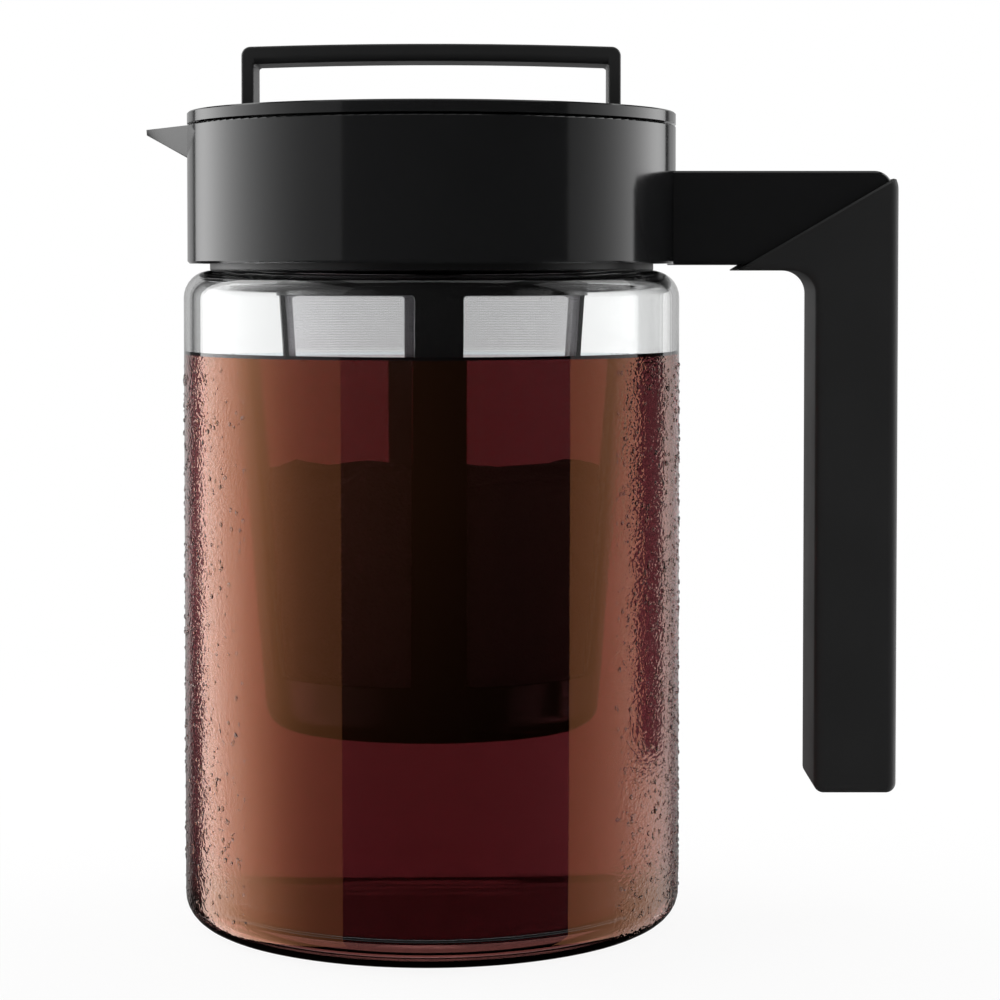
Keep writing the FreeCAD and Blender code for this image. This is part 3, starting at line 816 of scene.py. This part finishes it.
foot_painted_shade = turn_profile("foot_painted_shade", [
    (0, FOOT_SHADE_GAP),
    (FOOT_SHADE_UNDERSIDE, FOOT_SHADE_GAP),
    (FOOT_SHADE_HEEL, foot_rounding / 2 - FOOT_SHADE_GAP),
    (pitcher_radius - FOOT_SHADE_GAP, foot_rounding),
    (pitcher_radius - FOOT_SHADE_GAP, FOOT_SHADE_TOP),
    (pitcher_bore + FOOT_SHADE_GAP, FOOT_SHADE_TOP),
    (pitcher_bore + FOOT_SHADE_GAP, pitcher_floor - FOOT_SHADE_GAP, foot_rounding),
    (0, pitcher_floor - FOOT_SHADE_GAP),
])
foot_painted_shade.data.materials.append(foot_shade_finish)
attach(foot_painted_shade, "pitcher")

# %% [markdown]
# ## The grounds
# Steeped grounds fill the basket to about half its height and leave an uneven top. They start as a turned
# body that follows the basket's taper. Its top has two rings more than its shape needs, and low waves push
# their vertices up and down, while a coarse bump stands for the single grains.

# %% Finish of the grounds
GROUNDS_DARK = (0.0016, 0.0012, 0.0010, 1)
GROUNDS_LIGHT = (0.0060, 0.0042, 0.0032, 1)
GRAIN_DEPTH = 0.4 * MM

grounds_finish, tree, shader = new_finish("coffee_grounds")
place = object_place(tree)
grains = add_node(tree, "ShaderNodeTexVoronoi", Vector=place, Scale=1400.0)
lumps = noise(tree, place, scale=160.0, detail=4.0, roughness=0.6)
feed(tree, shader.inputs["Base Color"],
     mix_colours(tree, grains.outputs["Color"], GROUNDS_DARK, GROUNDS_LIGHT))
shader.inputs["Roughness"].default_value = 0.8
crumbs = calculate(tree, "ADD", grains.outputs["Distance"], lumps)
feed(tree, shader.inputs["Normal"], ripple(tree, crumbs, GRAIN_DEPTH))
print("finish", grounds_finish.name, "with grains", round(GRAIN_DEPTH / MM, 1), "mm deep")

# %% The basket's taper
BASKET_FOOT = 26.7 * MM
BASKET_HEAD = 33.4 * MM
RING_HEIGHT = 9.3 * MM


def basket_radius(height):
    """The outer radius of the basket's straight taper at a height."""
    share = (height - filter_low.z) / (filter_high.z - RING_HEIGHT - filter_low.z)
    return BASKET_FOOT + share * (BASKET_HEAD - BASKET_FOOT)


# %% Turn the grounds
CUP_FLOOR = 2.2 * MM
CUP_TOP = 12.0 * MM
# How far the grounds stay inside the basket's outer face: at the cup's floor, at its top, and at the mesh.
FLOOR_DEPTH = 3.4 * MM
CUP_DEPTH = 2.6 * MM
MESH_DEPTH = 1.9 * MM
CUP_STEP = 0.6 * MM
GROUNDS_GAP = 0.1 * MM
GROUNDS_TOP = 99.0 * MM
GROUNDS_FOOT_ROUNDING = 2.0 * MM
GROUNDS_TOP_ROUNDING = 3.0 * MM
GROUNDS_STEPS = 72
INNER_RINGS = (0.66, 0.33)

cup_floor = filter_low.z + CUP_FLOOR
cup_top = filter_low.z + CUP_TOP
top_radius = basket_radius(GROUNDS_TOP)
grounds = turn_profile("coffee_grounds", [
    (0, cup_floor + GROUNDS_GAP),
    (basket_radius(cup_floor) - FLOOR_DEPTH, cup_floor + GROUNDS_GAP, GROUNDS_FOOT_ROUNDING),
    (basket_radius(cup_top) - CUP_DEPTH, cup_top),
    (basket_radius(cup_top) - MESH_DEPTH, cup_top + CUP_STEP),
    (top_radius - MESH_DEPTH, GROUNDS_TOP, GROUNDS_TOP_ROUNDING),
    *((top_radius * share, GROUNDS_TOP) for share in INNER_RINGS),
    (0, GROUNDS_TOP),
], steps=GROUNDS_STEPS)
grounds.data.materials.append(grounds_finish)
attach(grounds, "filter")

# %% Heave their top
GROUNDS_HEAVE = 2.4 * MM
HEAVE_REACH = 22 * MM
# The waves of the grounds' top, in radians to the metre, and how far two of them are shifted, in radians.
WAVES_ACROSS = 210
WAVES_BACKWARD = 170
FINE_WAVES = 420
BACKWARD_SHIFT = 1.3
FINE_SHIFT = 0.4
FINE_SHARE = 0.5


def heave(place):
    """The waves of the grounds' top: at most 1 + FINE_SHARE, up or down."""
    large = math.sin(place.x * WAVES_ACROSS) * math.cos(place.y * WAVES_BACKWARD + BACKWARD_SHIFT)
    return large + FINE_SHARE * math.sin(place.y * FINE_WAVES + FINE_SHIFT)


heave_start = GROUNDS_TOP - HEAVE_REACH
for vertex in grounds.data.vertices:
    lift = max(0.0, (vertex.co.z - heave_start) / HEAVE_REACH)
    vertex.co.z += lift * heave(vertex.co) * GROUNDS_HEAVE
grounds_heights = [vertex.co.z for vertex in grounds.data.vertices]
print("grounds, mm: from", round(min(grounds_heights) / MM, 1), "to", round(max(grounds_heights) / MM, 1))

# %% [markdown]
# ## The drops of dew
# A cold pitcher draws dew from the air. The finest of it is a bump of the wall, but many small drops have run
# together and stand off it, more of them on the right. One low dome with a flat back is modelled, and copies
# of it are set on the wall, each with its own mesh, then joined. Their backs lie a hair inside the plastic.

# %% One drop
ALMOST_FLAT = 0.01


def make_drop():
    """One dome of radius 1 m on the XY plane, closed below by its flat back."""
    deselect_all()
    bpy.ops.mesh.primitive_uv_sphere_add(segments=10, ring_count=6, radius=1.0)
    drop = bpy.context.object
    bpy.ops.object.mode_set(mode="EDIT")
    pick_vertices(drop, lambda place: place.z < -ALMOST_FLAT)
    bpy.ops.mesh.delete(type="VERT")
    pick_vertices(drop, lambda place: abs(place.z) < ALMOST_FLAT)
    bpy.ops.mesh.edge_face_add()
    bpy.ops.object.mode_set(mode="OBJECT")
    bpy.ops.object.shade_smooth_by_angle(angle=math.radians(60))
    print("one drop has", len(drop.data.polygons), "faces")
    return drop


# %% A drop's place on the wall
DROP_RISE = 0.62
DROP_STRETCH = 1.15
DROP_SINK = 0.02 * MM


def wall_place(angle, height, size):
    """A drop's place on the wall: its dome looks outwards, and it is a little longer than wide."""
    out = Vector((math.cos(angle), math.sin(angle), 0))
    side = Vector((-out.y, out.x, 0))
    turn = Matrix((side, Vector((0, 0, 1)), out)).transposed().to_4x4()
    shape = Matrix.Diagonal((size, size * DROP_STRETCH, size * DROP_RISE, 1))
    spot = out * (pitcher_radius - DROP_SINK) + Vector((0, 0, height))
    return Matrix.Translation(spot) @ turn @ shape


# %% Scatter the drops
DROP_SEED = 7
DROPS_RIGHT = 900
DROPS_LEFT = 620
# The middle of each flank and its reach to either side, in degrees round Z.
RIGHT_ARC = (-20, 24)
LEFT_ARC = (-160, 26)
DRY_RIM = 2 * MM
DROP_SMALL = 0.22 * MM
DROP_LARGE = 0.52 * MM
# A power above 1 makes small drops more common than large ones.
SMALLER_OFTEN = 2.2

dice = random.Random(DROP_SEED)
pattern = make_drop()
drops = []
for count, (middle, spread) in ((DROPS_RIGHT, RIGHT_ARC), (DROPS_LEFT, LEFT_ARC)):
    for _ in range(count):
        angle = math.radians(middle + dice.uniform(-spread, spread))
        height = foot_rounding + dice.random() * (brew_level - DRY_RIM - foot_rounding)
        size = DROP_SMALL + (DROP_LARGE - DROP_SMALL) * dice.random() ** SMALLER_OFTEN
        drop = pattern.copy()
        drop.data = pattern.data.copy()
        drop.data.transform(wall_place(angle, height, size))
        bpy.context.scene.collection.objects.link(drop)
        drops.append(drop)
bpy.data.objects.remove(pattern)
print("dew:", len(drops), "drops")

# %% Join the drops
DEW_DARK = (0.97, 0.98, 0.98, 1)

dew_finish, tree, shader = new_clear_finish("dew", WATER_IOR)
tone = noise(tree, object_place(tree), scale=60.0)
feed(tree, shader.inputs["Base Color"], mix_colours(tree, tone, DEW_DARK, WHITE))

deselect_all()
for drop in drops:
    drop.select_set(True)
bpy.context.view_layer.objects.active = drops[0]
bpy.ops.object.join()
dew = bpy.context.object
dew.name = "dew"
dew.data.name = "dew"
dew.data.materials.clear()
dew.data.materials.append(dew_finish)
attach(dew, "pitcher")
print("dew has", len(dew.data.polygons), "faces")

# %% [markdown]
# ## The screw threads
# The lid's plug screws into the neck, and the filter's ring screws onto the socket under the plug. CAD
# leaves both as plain clearance fits, and the ridges are modelled here: a small triangle is wound up round Z
# with a screw, its ends are closed, and the crest sinks into the wall over the first and last stretch, as a
# moulded thread runs out.

# %% Wind a triangle
THREAD_STEPS = 96


def draw_triangle(name, corners):
    """A piece of three edges between three corners."""
    deselect_all()
    bpy.ops.mesh.primitive_circle_add(vertices=3, radius=1.0, fill_type="NGON")
    piece = bpy.context.object
    piece.name = name
    piece.data.name = name
    for vertex, corner in zip(piece.data.vertices, corners):
        vertex.co = corner
    bpy.ops.object.mode_set(mode="EDIT")
    bpy.ops.mesh.select_all(action="SELECT")
    bpy.ops.mesh.delete(type="ONLY_FACE")
    bpy.ops.object.mode_set(mode="OBJECT")
    return piece


def wind(ridge, pitch, turns):
    """Winds edges up round Z."""
    screw = ridge.modifiers.new("screw", "SCREW")
    screw.axis = "Z"
    screw.angle = 2 * math.pi * turns
    screw.screw_offset = pitch * turns
    screw.steps = round(THREAD_STEPS * turns)
    screw.render_steps = screw.steps
    bpy.ops.object.modifier_apply(modifier="screw")


# %% Run a thread out and close it
THREAD_SINK = 0.1 * MM
RUN_OUT = 0.12


def run_out(ridge, wall, rise, start, climb):
    """Sinks the crest into the wall over the first and last stretch of its climb."""
    for vertex in ridge.data.vertices:
        reach = math.hypot(vertex.co.x, vertex.co.y)
        if reach < wall:
            continue
        wound = (vertex.co.z - start) / climb
        left_over = min(wound, 1 - wound) / RUN_OUT
        wanted = wall + rise * min(1.0, max(0.0, left_over)) - THREAD_SINK / 2
        vertex.co.x *= wanted / reach
        vertex.co.y *= wanted / reach


def close_ends():
    """Fills the open edges of the active piece and turns its faces outwards."""
    bpy.ops.object.mode_set(mode="EDIT")
    bpy.ops.mesh.select_all(action="DESELECT")
    bpy.ops.mesh.select_mode(type="EDGE")
    bpy.ops.mesh.select_non_manifold()
    bpy.ops.mesh.edge_face_add()
    bpy.ops.mesh.select_all(action="SELECT")
    bpy.ops.mesh.normals_make_consistent(inside=False)
    bpy.ops.object.mode_set(mode="OBJECT")


def count_open_edges(piece):
    """How many edges do not have exactly two faces."""
    mesh = bmesh.new()
    mesh.from_mesh(piece.data)
    found = sum(len(edge.link_faces) != 2 for edge in mesh.edges)
    mesh.free()
    return found


# %% Both threads
SOCKET_RADIUS = 31.0 * MM


def thread_ridge(name, wall, rise, width, base, pitch, turns):
    """A helical ridge round Z on a wall of that radius, which starts at height base."""
    root = wall - THREAD_SINK
    crest_height = base + width / 2
    ridge = draw_triangle(name, (
        Vector((root, 0, base)), Vector((wall + rise, 0, crest_height)), Vector((root, 0, base + width))))
    wind(ridge, pitch, turns)
    run_out(ridge, wall, rise, crest_height, pitch * turns)
    close_ends()
    bpy.ops.object.shade_smooth_by_angle(angle=math.radians(30))
    ridge.data.materials.append(black_plastic)
    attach(ridge, "lid")
    print(name, "has", len(ridge.data.polygons), "faces and", count_open_edges(ridge), "open edges")


thread_ridge("plug_thread", wall=plug_high.x, rise=0.8 * MM, width=1.5 * MM,
             base=147.4 * MM, pitch=3.6 * MM, turns=2.0)
thread_ridge("socket_thread", wall=SOCKET_RADIUS, rise=0.6 * MM, width=1.2 * MM,
             base=140.4 * MM, pitch=2.4 * MM, turns=1.5)

# %% [markdown]
# ## Aim the panels
# Each pair of panels is told which pieces it lights.

# %% Light linking
clear_pieces = [pitcher, coffee, foot_painted_shade, dew]
meshes = [piece for piece in bpy.context.scene.objects if piece.type == "MESH"]
other_pieces = [piece for piece in meshes if piece not in clear_pieces]
for panels, pieces in ((panels_for_black, other_pieces), (panels_for_clear, clear_pieces)):
    group = bpy.data.collections.new(panels[0].name + "_lights")
    for piece in pieces:
        group.objects.link(piece)
    for panel in panels:
        panel.light_linking.receiver_collection = group
